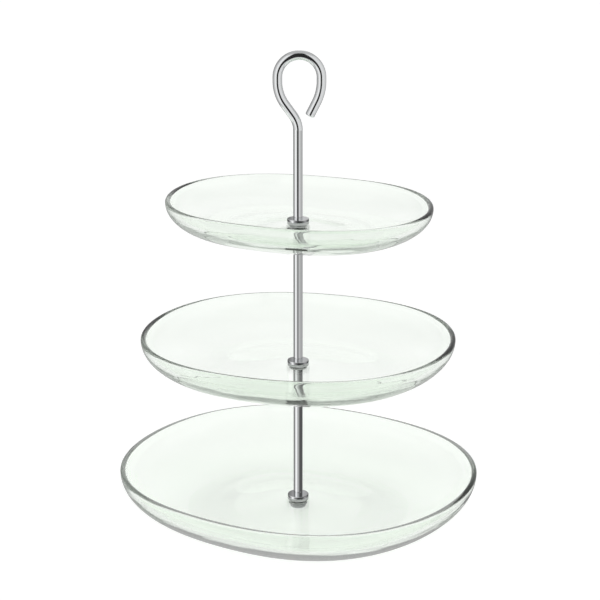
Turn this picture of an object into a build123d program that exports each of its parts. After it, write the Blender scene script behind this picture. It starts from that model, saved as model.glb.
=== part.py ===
from build123d import *
import os
from math import cos, pi, radians, sin

# A cake stand of three glass bowls on a threaded steel post, with an open loop handle on top.
# Millimetres, +Z up. The origin is on the post's axis, on the surface that the stand rests on.
# The base of each bowl rises in the middle, which leaves room for the screw head under the
# lowest one. A raised bowl is gripped between the rod's shoulder under it and the collar of
# the next rod over it, with a clear washer on both faces.

# Post
ROD_R = 3.5
TIER_SPACING = 109.4
COLLAR_R = 8.0
COLLAR_T = 2.4
COLLAR_ROUND = 0.5
PRESS_GAP = 0.02

# Thread, drawn as plain cylinders at its outer size
THREAD_R = 2.0
THREAD_GAP = 0.05
THREAD_PITCH = 0.7
THREAD_TURNS = 8
TAPPED_DEPTH = 10.0
STUD_POINT = 0.5

# Clear washers: flat above each bowl, shouldered below it so that the spigot centres the hole
UPPER_WASHER_R = 8.0
UPPER_WASHER_T = 1.6
LOWER_WASHER_R = 6.5
LOWER_WASHER_T = 1.0
SPIGOT_R = 4.5
SPIGOT_GAP = 0.05
SPIGOT_SHORT = 0.4

# Screw that closes the post from below
HEAD_R = 6.0
HEAD_T = 2.0
HEAD_ROUND = 0.6
SLOT_W = 1.6
SLOT_DEPTH = 1.1
STEEL_WASHER_R = 7.0
STEEL_WASHER_T = 0.8
FLOOR_CLEARANCE = 0.7

# Bowls: thickness of the base and of the wall, the ring they stand on and the raised hub
BASE_T = 4.5
LIP_T = 4.0
LIP_ROUND = 1.5
RING_W = 4.5
HUB_R = 12.0
UPPER_RISE = {"middle": 2.0, "top": 3.4}
OUTLINE_POINTS = 40
ARC_STEPS = 5

# Each bowl: mean radius, height of the lip over the collar's top face, share of the radius
# that stays flat, and the two waves (share of the radius, direction in degrees) that make
# its soft, slightly skewed outline
BOWLS = {
    "bottom": {"radius": 132.1, "depth": 25.3, "flat": 0.515, "waves": ((2, 0.0465, -29.6), (4, 0.0184, 13.4))},
    "middle": {"radius": 115.0, "depth": 21.1, "flat": 0.52, "waves": ((2, 0.0396, -21.9), (4, 0.0145, 26.5))},
    "top": {"radius": 96.6, "depth": 13.8, "flat": 0.56, "waves": ((2, 0.0889, -37.7), (4, 0.0224, 31.1))},
}
TIERS = tuple(BOWLS)

# Loop handle, in the X-Z plane: the bend starts at a height over the top collar's upper face
BEND_START = 64.7
BEND_ANGLE = 36.0
BEND_R = 19.4
LEG_LENGTH = 9.8
SHOULDER_R = 28.0
LOOP_R = 15.8
LOOP_SIDE = 3.0
MOUTH_R = 33.0
MOUTH_ANGLE = 26.6
MOUTH_LENGTH = 11.4
TIP_ROUND = 1.2

# Heights that follow from the sizes above
UNDERSIDE = {"bottom": FLOOR_CLEARANCE + HEAD_T + STEEL_WASHER_T + LOWER_WASHER_T}
COLLAR_TOP = {"bottom": UNDERSIDE["bottom"] + BASE_T + UPPER_WASHER_T + COLLAR_T}
for below, above in zip(TIERS, TIERS[1:]):
    COLLAR_TOP[above] = COLLAR_TOP[below] + TIER_SPACING
    UNDERSIDE[above] = COLLAR_TOP[above] - COLLAR_T - UPPER_WASHER_T - BASE_T
HOLE_R = SPIGOT_R + SPIGOT_GAP
ENGAGEMENT = THREAD_TURNS * THREAD_PITCH


def disc(radius, bottom, height, bore=0.0):
    """An upright disc standing on height `bottom`, with a through bore if one is given."""
    solid = Pos(0, 0, bottom) * Cylinder(radius, height, align=(Align.CENTER, Align.CENTER, Align.MIN))
    if bore:
        solid -= Pos(0, 0, bottom) * Cylinder(bore, height, align=(Align.CENTER, Align.CENTER, Align.MIN))
    return solid


def outer_edges(solid, radius, end):
    """The circles of the given radius at the top (end=-1) or bottom (end=0) of a disc."""
    circles = solid.edges().filter_by(GeomType.CIRCLE).filter_by(lambda e: abs(e.radius - radius) < 1e-6)
    return [circles.sort_by(Axis.Z)[end]]


def outline(tier, share, inset, height):
    """The bowl's closed outline at a share of its size, drawn in by `inset`, at a height."""
    bowl = BOWLS[tier]
    points = []
    for n in range(OUTLINE_POINTS):
        turn = 2 * pi * n / OUTLINE_POINTS
        waves = sum(size * cos(k * (turn - radians(at))) for k, size, at in bowl["waves"])
        r = bowl["radius"] * (1 + waves) * share - inset
        points.append(Vector(r * cos(turn), r * sin(turn), height))
    return make_face(Spline(*points, periodic=True))


def hollow(tier, inset, bottom, top):
    """The solid inside a bowl-shaped surface that leaves a flat middle and ends upright at `top`."""
    flat = BOWLS[tier]["flat"]
    upright = lip_height(tier) - LIP_T / 2
    sections = []
    for n in range(ARC_STEPS + 1):
        a = pi / 2 * n / ARC_STEPS
        share = flat + (1 - flat) * sin(a)
        sections.append(outline(tier, share, inset, bottom + (upright - bottom) * (1 - cos(a))))
    return loft(sections + [outline(tier, 1, inset, top)])


def lip_height(tier):
    """Height of the bowl's lip over the surface that the stand rests on."""
    return COLLAR_TOP[tier] + BOWLS[tier]["depth"]


def rise(tier):
    """Height of the hub's underside over the ring that the bowl stands on."""
    return UPPER_RISE.get(tier, UNDERSIDE[tier])


def hub_cone(tier, bottom):
    """The low solid, standing on height `bottom`, whose slope runs from inside the ring to the hub."""
    mouth = outline(tier, BOWLS[tier]["flat"], RING_W, bottom)
    return loft([mouth, Pos(0, 0, bottom + rise(tier)) * Circle(HUB_R)], ruled=True)


def bowl(tier):
    """A glass bowl: one shell with a rounded lip, an evenly thick base and a centre hole."""
    foot = UNDERSIDE[tier] - rise(tier)
    floor = foot + BASE_T
    lip = lip_height(tier)
    inside = hollow(tier, LIP_T, floor, lip + LIP_T) - hub_cone(tier, floor)
    shell = hollow(tier, 0, foot, lip) - inside
    rim = shell.edges().filter_by(lambda e: e.bounding_box().min.Z > lip - LIP_ROUND / 2)
    shell = fillet(rim, LIP_ROUND) - hub_cone(tier, foot)
    return shell - disc(HOLE_R, foot, rise(tier) + BASE_T)


def collar(tier):
    """The flange at the foot of a rod, with both edges rounded."""
    bottom = COLLAR_TOP[tier] - COLLAR_T
    solid = disc(COLLAR_R, bottom, COLLAR_T, ROD_R + PRESS_GAP)
    return fillet(outer_edges(solid, COLLAR_R, 0) + outer_edges(solid, COLLAR_R, -1), COLLAR_ROUND)


def lower_washer(tier):
    """A washer with a spigot that centres the bowl's hole on the thread."""
    bottom = UNDERSIDE[tier] - LOWER_WASHER_T
    spigot = disc(SPIGOT_R, bottom, LOWER_WASHER_T + BASE_T - SPIGOT_SHORT)
    solid = disc(LOWER_WASHER_R, bottom, LOWER_WASHER_T) + spigot
    return solid - disc(THREAD_R + THREAD_GAP, bottom, LOWER_WASHER_T + BASE_T)


def upper_washer(tier):
    """The ring between a bowl's floor and the collar over it."""
    return disc(UPPER_WASHER_R, UNDERSIDE[tier] + BASE_T, UPPER_WASHER_T, THREAD_R + THREAD_GAP)


def stud(tier):
    """The threaded stud fixed in the rod below a raised bowl, pointed at its free end."""
    bottom = UNDERSIDE[tier] - LOWER_WASHER_T - TAPPED_DEPTH
    top = COLLAR_TOP[tier] - COLLAR_T + ENGAGEMENT
    solid = disc(THREAD_R, bottom, top - bottom)
    return chamfer(outer_edges(solid, THREAD_R, -1), STUD_POINT)


def tapped_hole(bottom):
    """The cutter for a blind threaded hole that starts at height `bottom`."""
    return disc(THREAD_R + THREAD_GAP, bottom, TAPPED_DEPTH)


def rod(tier):
    """A straight rod from its collar up to the shoulder under the next bowl."""
    bottom = COLLAR_TOP[tier] - COLLAR_T
    above = TIERS[TIERS.index(tier) + 1]
    top = UNDERSIDE[above] - LOWER_WASHER_T
    return disc(ROD_R, bottom, top - bottom) - tapped_hole(bottom) - tapped_hole(top - TAPPED_DEPTH)


def handle_path():
    """Centre line of the handle: up, over to the left, round the loop and down to its open end."""
    start = COLLAR_TOP["top"] - COLLAR_T
    bend = Line((0, 0, start), (0, 0, COLLAR_TOP["top"] + BEND_START))
    first = bent(bend, BEND_R, BEND_ANGLE)
    leg = straight(first, LEG_LENGTH)
    shoulder = bent(leg, SHOULDER_R, -BEND_ANGLE)
    side = straight(shoulder, LOOP_SIDE)
    crown = bent(side, LOOP_R, -180)
    fall = straight(crown, LOOP_SIDE)
    mouth = bent(fall, MOUTH_R, -MOUTH_ANGLE)
    return Wire([bend, first, leg, shoulder, side, crown, fall, mouth, straight(mouth, MOUTH_LENGTH)])


def straight(before, length):
    """A straight run that carries on from the end of the last one."""
    end = before @ 1
    return Line(end, end + (before % 1) * length)


def bent(before, radius, angle):
    """An arc in the X-Z plane that carries on from the last run; a positive angle turns to -X."""
    along = before % 1
    side = Vector(-along.Z, 0, along.X) * (1 if angle > 0 else -1)
    centre = (before @ 1) + side * radius
    turned = abs(radians(angle))
    middle = centre - side * radius * cos(turned / 2) + along * radius * sin(turned / 2)
    end = centre - side * radius * cos(turned) + along * radius * sin(turned)
    return ThreePointArc(before @ 1, middle, end)


def handle():
    """The top rod, bent into an open loop, with a rounded end."""
    path = handle_path()
    start = COLLAR_TOP["top"] - COLLAR_T
    solid = sweep(Pos(0, 0, start) * Circle(ROD_R), path)
    end_face = solid.faces().sort_by_distance(path @ 1)[0]
    return fillet(end_face.edges(), TIP_ROUND) - tapped_hole(start)


def base_screw():
    """The slotted screw that holds the lowest bowl to the post."""
    under_head = FLOOR_CLEARANCE + HEAD_T
    top = COLLAR_TOP["bottom"] - COLLAR_T + ENGAGEMENT
    head = fillet(outer_edges(disc(HEAD_R, FLOOR_CLEARANCE, HEAD_T), HEAD_R, 0), HEAD_ROUND)
    shank = disc(THREAD_R, under_head, top - under_head)
    slot = Pos(0, 0, FLOOR_CLEARANCE) * Box(
        2 * HEAD_R, SLOT_W, SLOT_DEPTH, align=(Align.CENTER, Align.CENTER, Align.MIN)
    )
    return head + chamfer(outer_edges(shank, THREAD_R, -1), STUD_POINT) - slot


def parts():
    """Every piece of the stand, by node name."""
    made = {
        "base_screw": base_screw(),
        "base_washer": disc(
            STEEL_WASHER_R, FLOOR_CLEARANCE + HEAD_T, STEEL_WASHER_T, THREAD_R + THREAD_GAP
        ),
        "handle_rod": handle(),
    }
    for tier in TIERS:
        made[f"bowl_{tier}"] = bowl(tier)
        made[f"collar_{tier}"] = collar(tier)
        made[f"lower_washer_{tier}"] = lower_washer(tier)
        made[f"upper_washer_{tier}"] = upper_washer(tier)
    for tier in TIERS[1:]:
        made[f"stud_{tier}"] = stud(tier)
    for tier in TIERS[:-1]:
        made[f"rod_{tier}"] = rod(tier)
    return made


os.makedirs("parts", exist_ok=True)
for name, solid in parts().items():
    export_step(solid, f"parts/{name}.step")
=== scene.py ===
import math

import bpy
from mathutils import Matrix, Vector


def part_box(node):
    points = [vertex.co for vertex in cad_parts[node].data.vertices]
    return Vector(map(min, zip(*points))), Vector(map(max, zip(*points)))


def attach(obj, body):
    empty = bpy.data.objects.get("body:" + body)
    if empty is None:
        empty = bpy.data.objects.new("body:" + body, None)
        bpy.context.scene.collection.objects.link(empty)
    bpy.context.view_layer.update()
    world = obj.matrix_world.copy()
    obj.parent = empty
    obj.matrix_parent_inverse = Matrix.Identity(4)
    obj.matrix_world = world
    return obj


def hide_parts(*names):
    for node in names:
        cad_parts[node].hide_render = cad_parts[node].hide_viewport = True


# A tiered cake stand: three clear glass bowls on a bright steel post with an open loop handle.
# Everything is in metres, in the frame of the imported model, +Z up, front towards -Y.

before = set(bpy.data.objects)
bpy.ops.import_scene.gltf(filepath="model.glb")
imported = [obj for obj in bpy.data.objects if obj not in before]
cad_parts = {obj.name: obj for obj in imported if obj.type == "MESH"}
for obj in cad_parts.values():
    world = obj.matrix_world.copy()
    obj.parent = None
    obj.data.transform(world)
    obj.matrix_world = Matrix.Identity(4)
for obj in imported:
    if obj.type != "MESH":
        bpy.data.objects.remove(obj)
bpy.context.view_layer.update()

# ---------------------------------------------------------------- sizes

MM = 0.001
TIERS = ("bottom", "middle", "top")

# Outline of each bowl: mean lip radius in mm, share of it where the wall starts, and its two waves
# (number round the outline, share of the radius, direction in degrees)
BOWLS = {
    "bottom": {"radius": 132.1, "flat": 0.515, "waves": ((2, 0.0465, -29.6), (4, 0.0184, 13.4))},
    "middle": {"radius": 115.0, "flat": 0.52, "waves": ((2, 0.0396, -21.9), (4, 0.0145, 26.5))},
    "top": {"radius": 96.6, "flat": 0.56, "waves": ((2, 0.0889, -37.7), (4, 0.0224, 31.1))},
}
LIP_T = 4.0 * MM
BASE_T = 4.5 * MM
RING_W = 4.5 * MM
HOLE_R = 4.55 * MM
HOLE_LAND = 1.0 * MM
HUB_R = 12.0 * MM

# How far the outer glass stays inside the CAD's faces
INSIDE = 0.05 * MM

# Steps round each bowl, and along its slope, its wall and its lip
AROUND = 192
SLOPE_STEPS = 24
WALL_STEPS = 30
LIP_STEPS = 12

# Camera: distance in front of the post, height over the table, tilt down and lens
CAMERA_BACK = 1.0927
CAMERA_UP = 0.4916
CAMERA_SIDE = 0.0014
CAMERA_TILT = 16.44
LENS_SHARE = 1527 / 600
SENSOR = 36.0

# Half the width of the floor
FLOOR_REACH = 12.0

# Brightness of the surroundings from straight down (0) to straight up (1)
SKY = ((0.0, 1.02), (0.72, 1.02), (0.80, 0.62), (1.0, 0.52))
FLOOR_GLOW = 0.47
LIGHT_BOUNCES = 64

# Fineness of the noise in each surface, and the part of it that shades from one colour to the other
RIPPLE_SCALE = 22.0
POLISH_SCALE = 260.0
CLOUD_SCALE = 400.0
GRAIN_SCALE = 3.0
RAMP_START = 0.35
RAMP_END = 0.65

# How strongly the glass takes in light with depth, per metre
GLASS_ABSORPTION = 3.5

# Brightness around the post, as the share of a turn from -X by way of -Y, +X and +Y: panels
# far out for the handle and the glass, and slim ones close to each post and each collar
FAR_PANELS = (
    (0.0, 0.60), (0.06, 0.70), (0.12, 1.0), (0.19, 0.90), (0.205, 0.02), (0.295, 0.02), (0.305, 0.85),
    (0.42, 0.80), (0.55, 0.70), (0.60, 0.4), (0.68, 0.5), (0.75, 0.9), (0.82, 0.35), (0.90, 0.3),
    (0.96, 0.5),
)
POST_PANELS = {
    "bottom": (
        (0.0, 0.20), (0.06, 0.55), (0.12, 1.1), (0.155, 1.3), (0.19, 0.62), (0.255, 0.60), (0.29, 0.24),
        (0.363, 0.14), (0.43, 0.04), (0.50, 0.15), (0.60, 0.4), (0.69, 0.5), (0.71, 0.95), (0.79, 0.95),
        (0.81, 0.4), (0.90, 0.20), (0.97, 0.18),
    ),
    "middle": (
        (0.0, 0.28), (0.06, 0.50), (0.11, 1.2), (0.145, 1.3), (0.18, 0.38), (0.25, 0.28), (0.29, 0.45),
        (0.345, 0.68), (0.40, 0.40), (0.46, 0.45), (0.60, 0.5), (0.69, 0.55), (0.71, 0.95), (0.79, 0.95),
        (0.81, 0.4), (0.90, 0.2), (0.97, 0.2),
    ),
    "top": (
        (0.0, 0.30), (0.06, 0.75), (0.12, 1.1), (0.165, 1.0), (0.20, 0.10), (0.25, 0.02), (0.28, 0.30),
        (0.31, 0.70), (0.363, 0.80), (0.41, 0.36), (0.50, 0.6), (0.69, 0.6), (0.71, 0.95), (0.79, 0.95),
        (0.81, 0.4), (0.90, 0.2), (0.97, 0.2),
    ),
}
COLLAR_PANELS = (
    (0.0, 0.04), (0.08, 0.15), (0.12, 0.60), (0.158, 1.1), (0.19, 0.35), (0.25, 0.04), (0.33, 0.10),
    (0.37, 0.40), (0.41, 0.30), (0.46, 0.03), (0.60, 0.3), (0.75, 0.5), (0.90, 0.1), (0.97, 0.04),
)
NEAR_R = 0.0088
FAR_R = 0.45
FAR_LOW = 0.002
FAR_HIGH = 0.9
PANEL_STEPS = 96

# The grey card on the table, and the gap left between a near panel and the bowl over it
CARD_HEIGHT = 0.001
CARD_GREY = 0.50
PANEL_GAP = 1.0 * MM

# Height of the handle's bend over its collar
BEND_UP = 0.0647


# ---------------------------------------------------------------- meshes

def new_object(name, verts, faces, smooth=True):
    """A mesh object with smooth faces, linked to the scene."""
    mesh = bpy.data.meshes.new(name)
    mesh.from_pydata(verts, [], faces)
    mesh.validate()
    for polygon in mesh.polygons:
        polygon.use_smooth = smooth
    made = bpy.data.objects.new(name, mesh)
    bpy.context.scene.collection.objects.link(made)
    return made


def outline_radius(tier, turn):
    """Radius of a bowl's lip at an angle about the post."""
    bowl = BOWLS[tier]
    waves = sum(size * math.cos(k * (turn - math.radians(at))) for k, size, at in bowl["waves"])
    return bowl["radius"] * MM * (1 + waves)


def wall_curve(flat, bottom, upright, steps):
    """Points (share of the lip radius, height) from the wall's foot up to the lip."""
    curve = []
    for n in range(steps + 1):
        a = math.pi / 2 * n / steps
        curve.append((flat + (1 - flat) * math.sin(a), bottom + (upright - bottom) * (1 - math.cos(a))))
    return curve


def underside(tier):
    """Height over the table of the raised middle's lower face, where the lower washer meets it."""
    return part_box(f"upper_washer_{tier}")[0][2] - BASE_T


def bowl_profile(tier):
    """The bowl's closed section as rows of (share of the lip radius, inset, height).

    It runs from the hole under the base, down a slope to the ring, up the outside, over the
    lip, down the inside and up the same slope over the base to the hole. A "hole" row is inset
    from the hole's wall. A "slope" row gives its share of the way from the hub to the ring in
    place of the inset.
    """
    low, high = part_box(f"bowl_{tier}")
    foot, lip = low[2] + INSIDE, high[2] - INSIDE
    rise = underside(tier) - low[2]
    flat = BOWLS[tier]["flat"]
    floor = low[2] + BASE_T
    upright = high[2] - LIP_T / 2
    shares = [n / SLOPE_STEPS for n in range(SLOPE_STEPS + 1)]
    slope = [(share, rise * (1 + math.cos(math.pi * share)) / 2) for share in shares]
    rows = [("hole", 0, low[2] + rise), ("hole", -HOLE_LAND, low[2] + rise)]
    rows += [("slope", share, max(low[2] + up, foot)) for share, up in slope]
    rows += [(flat, RING_W * 0.5, foot)]
    outer = wall_curve(flat, low[2], upright, WALL_STEPS)
    rows += [(share, INSIDE, max(height, foot)) for share, height in outer]
    for n in range(1, LIP_STEPS):
        a = math.pi * n / LIP_STEPS
        rows.append((1, LIP_T / 2 * (1 - math.cos(a)) * (1 - 2 * INSIDE / LIP_T) + INSIDE,
                     upright + (lip - upright) * math.sin(a)))
    inner = wall_curve(flat, floor, upright, WALL_STEPS)
    rows += [(share, LIP_T, height) for share, height in reversed(inner)]
    rows += [("slope", share, floor + up) for share, up in reversed(slope)]
    rows += [("hole", -HOLE_LAND, floor + rise), ("hole", 0, floor + rise)]
    return rows


def bowl(tier):
    """The whole glass bowl as one closed smooth mesh."""
    rows = bowl_profile(tier)
    verts = []
    for share, inset, height in rows:
        for n in range(AROUND):
            turn = 2 * math.pi * n / AROUND
            lip_r = outline_radius(tier, turn)
            if share == "hole":
                r = HOLE_R - inset
            elif share == "slope":
                r = HUB_R + (lip_r * BOWLS[tier]["flat"] - RING_W - HUB_R) * inset
            else:
                r = lip_r * share - inset
            verts.append((r * math.cos(turn), r * math.sin(turn), height))
    count = len(rows)
    faces = []
    for i in range(count):
        j = (i + 1) % count
        for n in range(AROUND):
            m = (n + 1) % AROUND
            faces.append((i * AROUND + n, i * AROUND + m, j * AROUND + m, j * AROUND + n))
    made = new_object(f"glass_bowl_{tier}", verts, faces)
    made.data.materials.append(glass_material())
    return made


# ---------------------------------------------------------------- materials

def node_material(name):
    """A node material and its Principled shader, or None for the shader if it was made before."""
    material = bpy.data.materials.get(name)
    if material:
        return material, None
    material = bpy.data.materials.new(name)
    material.use_nodes = True
    return material, material.node_tree.nodes["Principled BSDF"]


def noise(tree, scale, detail, stretch=(1, 1, 1)):
    """Object-space noise, stretched along an axis if asked."""
    place = tree.nodes.new("ShaderNodeTexCoord")
    mapping = tree.nodes.new("ShaderNodeMapping")
    mapping.inputs["Scale"].default_value = stretch
    texture = tree.nodes.new("ShaderNodeTexNoise")
    texture.inputs["Scale"].default_value = scale
    texture.inputs["Detail"].default_value = detail
    tree.links.new(place.outputs["Object"], mapping.inputs["Vector"])
    tree.links.new(mapping.outputs["Vector"], texture.inputs["Vector"])
    return texture


def ramp(tree, source, low, high):
    """A ramp between two colours, fed by a texture's factor."""
    made = tree.nodes.new("ShaderNodeValToRGB")
    made.color_ramp.elements[0].position = RAMP_START
    made.color_ramp.elements[1].position = RAMP_END
    made.color_ramp.elements[0].color = (*low, 1)
    made.color_ramp.elements[1].color = (*high, 1)
    tree.links.new(source.outputs["Fac"], made.inputs["Fac"])
    return made


def ramp_stops(color_ramp, stops):
    """Fills a colour ramp with greys, given as (place, brightness)."""
    while len(color_ramp.elements) < len(stops):
        color_ramp.elements.new(0.5)
    for element, (at, grey) in zip(color_ramp.elements, stops):
        element.position = at
        element.color = (grey, grey, grey, 1)


def bump(tree, shader, source, strength, distance):
    """Fine relief on a shader from a texture's factor."""
    made = tree.nodes.new("ShaderNodeBump")
    made.inputs["Strength"].default_value = strength
    made.inputs["Distance"].default_value = distance
    tree.links.new(source.outputs["Fac"], made.inputs["Height"])
    tree.links.new(made.outputs["Normal"], shader.inputs["Normal"])


def glass_material():
    """Clear pressed glass: a faint green cast and the slow ripple of a moulded surface."""
    material, shader = node_material("clear_glass")
    if shader is None:
        return material
    tree = material.node_tree
    shader.inputs["Transmission Weight"].default_value = 1.0
    shader.inputs["IOR"].default_value = 1.50
    ripple = noise(tree, RIPPLE_SCALE, 1.0, (1, 1, 8))
    tint = ramp(tree, ripple, (0.934, 0.972, 0.929), (0.948, 0.984, 0.944))
    tree.links.new(tint.outputs["Color"], shader.inputs["Base Color"])
    shader.inputs["Roughness"].default_value = 0.0
    bump(tree, shader, ripple, 0.25, 0.0010)
    depth = tree.nodes.new("ShaderNodeVolumeAbsorption")
    depth.inputs["Color"].default_value = (0.0, 0.07, 0.0, 1)
    depth.inputs["Density"].default_value = GLASS_ABSORPTION
    tree.links.new(depth.outputs["Volume"], tree.nodes["Material Output"].inputs["Volume"])
    return material


def steel_material(name, low, high, roughness):
    """Bright plated steel with faint polishing marks."""
    material, shader = node_material(name)
    if shader is None:
        return material
    tree = material.node_tree
    shader.inputs["Metallic"].default_value = 1.0
    marks = noise(tree, POLISH_SCALE, 4.0, (1, 1, 0.08))
    colour = ramp(tree, marks, low, high)
    tree.links.new(colour.outputs["Color"], shader.inputs["Base Color"])
    rough = ramp(tree, marks, (roughness * 0.7,) * 3, (roughness * 1.3,) * 3)
    tree.links.new(rough.outputs["Color"], shader.inputs["Roughness"])
    bump(tree, shader, marks, 0.02, 0.0001)
    return material


def washer_material():
    """Pale translucent plastic, slightly cloudy."""
    material, shader = node_material("clear_plastic")
    if shader is None:
        return material
    tree = material.node_tree
    cloud = noise(tree, CLOUD_SCALE, 2.0)
    colour = ramp(tree, cloud, (0.87, 0.89, 0.88), (0.94, 0.95, 0.95))
    tree.links.new(colour.outputs["Color"], shader.inputs["Base Color"])
    shader.inputs["Transmission Weight"].default_value = 0.55
    shader.inputs["IOR"].default_value = 1.45
    rough = ramp(tree, cloud, (0.30,) * 3, (0.42,) * 3)
    tree.links.new(rough.outputs["Color"], shader.inputs["Roughness"])
    return material


def assign(node, material):
    """Gives a carried-over CAD piece its material in every slot."""
    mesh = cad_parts[node].data
    if not mesh.materials:
        mesh.materials.append(material)
    for n in range(len(mesh.materials)):
        mesh.materials[n] = material


# ---------------------------------------------------------------- pieces

def add_bowls():
    """The three glass bowls in place of the CAD ones, each on the body that carries it."""
    for tier in TIERS:
        made = bowl(tier)
        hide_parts(f"bowl_{tier}")
        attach(made, f"{tier}_tier")


def dress_cad_pieces():
    """Materials for every CAD piece that stays."""
    rod_steel = steel_material("bright_steel", (0.70, 0.71, 0.72), (0.76, 0.77, 0.78), 0.06)
    flange_steel = steel_material("flange_steel", (0.74, 0.75, 0.76), (0.82, 0.83, 0.84), 0.05)
    thread_steel = steel_material("thread_steel", (0.45, 0.46, 0.47), (0.56, 0.57, 0.58), 0.28)
    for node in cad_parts:
        if node.startswith(("rod_", "handle_rod")):
            assign(node, rod_steel)
        elif node.startswith("collar_"):
            assign(node, flange_steel)
        elif node.startswith(("stud_", "base_")):
            assign(node, thread_steel)
        elif "_washer_" in node:
            assign(node, washer_material())


# ---------------------------------------------------------------- surroundings

def plain_material(name, colour, roughness):
    """A pale studio surface with a trace of unevenness."""
    material, shader = node_material(name)
    tree = material.node_tree
    grain = noise(tree, GRAIN_SCALE, 2.0)
    shade = ramp(tree, grain, tuple(c * 0.995 for c in colour), colour)
    tree.links.new(shade.outputs["Color"], shader.inputs["Base Color"])
    shader.inputs["Roughness"].default_value = roughness
    return material


def add_floor():
    """A wide pale floor."""
    corners = [(x * FLOOR_REACH, y * FLOOR_REACH, 0) for x, y in ((-1, -1), (1, -1), (1, 1), (-1, 1))]
    floor = new_object("floor", corners, [(0, 1, 2, 3)], smooth=False)
    material = plain_material("pale_floor", (0.80, 0.80, 0.80), 0.9)
    shader = material.node_tree.nodes["Principled BSDF"]
    shader.inputs["Emission Color"].default_value = (1, 1, 1, 1)
    shader.inputs["Emission Strength"].default_value = FLOOR_GLOW
    floor.data.materials.append(material)


def glossy_only(made, name, stops):
    """Makes a studio piece a plain light that shows only in reflections.

    Its brightness goes round the post by the given stops.
    """
    material = bpy.data.materials.new(name)
    material.use_nodes = True
    tree = material.node_tree
    tree.nodes.clear()
    place = tree.nodes.new("ShaderNodeTexCoord")
    turn = tree.nodes.new("ShaderNodeTexGradient")
    turn.gradient_type = "RADIAL"
    tree.links.new(place.outputs["Object"], turn.inputs["Vector"])
    panels = tree.nodes.new("ShaderNodeValToRGB")
    ramp_stops(panels.color_ramp, stops)
    tree.links.new(turn.outputs["Fac"], panels.inputs["Fac"])
    glow = tree.nodes.new("ShaderNodeEmission")
    tree.links.new(panels.outputs["Color"], glow.inputs["Color"])
    out = tree.nodes.new("ShaderNodeOutputMaterial")
    tree.links.new(glow.outputs["Emission"], out.inputs["Surface"])
    made.data.materials.append(material)
    made.visible_camera = False
    made.visible_diffuse = False
    made.visible_transmission = False
    made.visible_shadow = False
    made.visible_volume_scatter = False


def studio_panels(name, radius, low, high, stops):
    """An upright ring of panels round the stand."""
    verts, faces = [], []
    for n in range(PANEL_STEPS):
        turn = 2 * math.pi * n / PANEL_STEPS
        verts += [(radius * math.cos(turn), radius * math.sin(turn), z) for z in (low, high)]
    for n in range(PANEL_STEPS):
        m = (n + 1) % PANEL_STEPS
        faces.append((2 * n, 2 * m, 2 * m + 1, 2 * n + 1))
    glossy_only(new_object(name, verts, faces), name, stops)


def table_card():
    """A grey card on the table, inside the far panels."""
    turns = [2 * math.pi * n / PANEL_STEPS for n in range(PANEL_STEPS)]
    verts = [(FAR_R * math.cos(turn), FAR_R * math.sin(turn), CARD_HEIGHT) for turn in turns]
    card = new_object("table_card", verts, [tuple(range(PANEL_STEPS))], smooth=False)
    glossy_only(card, "table_card", ((0.0, CARD_GREY), (1.0, CARD_GREY)))


def add_panels():
    """The card, the far panels, and the near ones round each collar and each post.

    A post's panels end under the next bowl, or at the handle's bend.
    """
    table_card()
    studio_panels("far_panels", FAR_R, FAR_LOW, FAR_HIGH, FAR_PANELS)
    for n, tier in enumerate(TIERS):
        low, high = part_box(f"collar_{tier}")
        if n + 1 < len(TIERS):
            end = underside(TIERS[n + 1]) - PANEL_GAP
        else:
            end = high[2] + BEND_UP
        studio_panels(f"collar_panels_{tier}", NEAR_R, low[2], high[2], COLLAR_PANELS)
        studio_panels(f"post_panels_{tier}", NEAR_R, high[2], end, POST_PANELS[tier])


def add_light():
    """White all round and dim overhead, so that the glass edges draw grey lines."""
    world = bpy.data.worlds.new("studio")
    bpy.context.scene.world = world
    world.use_nodes = True
    tree = world.node_tree
    place = tree.nodes.new("ShaderNodeTexCoord")
    split = tree.nodes.new("ShaderNodeSeparateXYZ")
    tree.links.new(place.outputs["Generated"], split.inputs["Vector"])
    shift = tree.nodes.new("ShaderNodeMapRange")
    shift.inputs["From Min"].default_value = -1.0
    tree.links.new(split.outputs["Z"], shift.inputs["Value"])
    depth = tree.nodes.new("ShaderNodeValToRGB")
    ramp_stops(depth.color_ramp, SKY)
    tree.links.new(shift.outputs["Result"], depth.inputs["Fac"])
    tree.links.new(depth.outputs["Color"], tree.nodes["Background"].inputs["Color"])
    cycles = bpy.context.scene.cycles
    cycles.max_bounces = LIGHT_BOUNCES
    cycles.transmission_bounces = LIGHT_BOUNCES
    cycles.glossy_bounces = LIGHT_BOUNCES
    cycles.blur_glossy = 0.0


def add_camera():
    """The camera in front of the stand, looking slightly down at it."""
    camera = bpy.data.cameras.new("camera")
    camera.sensor_width = SENSOR
    camera.lens = SENSOR * LENS_SHARE
    made = bpy.data.objects.new("camera", camera)
    made.location = (CAMERA_SIDE, -CAMERA_BACK, CAMERA_UP)
    made.rotation_euler = (math.radians(90 - CAMERA_TILT), 0, 0)
    bpy.context.scene.collection.objects.link(made)
    bpy.context.scene.camera = made


add_camera()
add_light()
add_panels()
add_floor()
add_bowls()
dress_cad_pieces()
bpy.context.scene.view_settings.view_transform = "Standard"
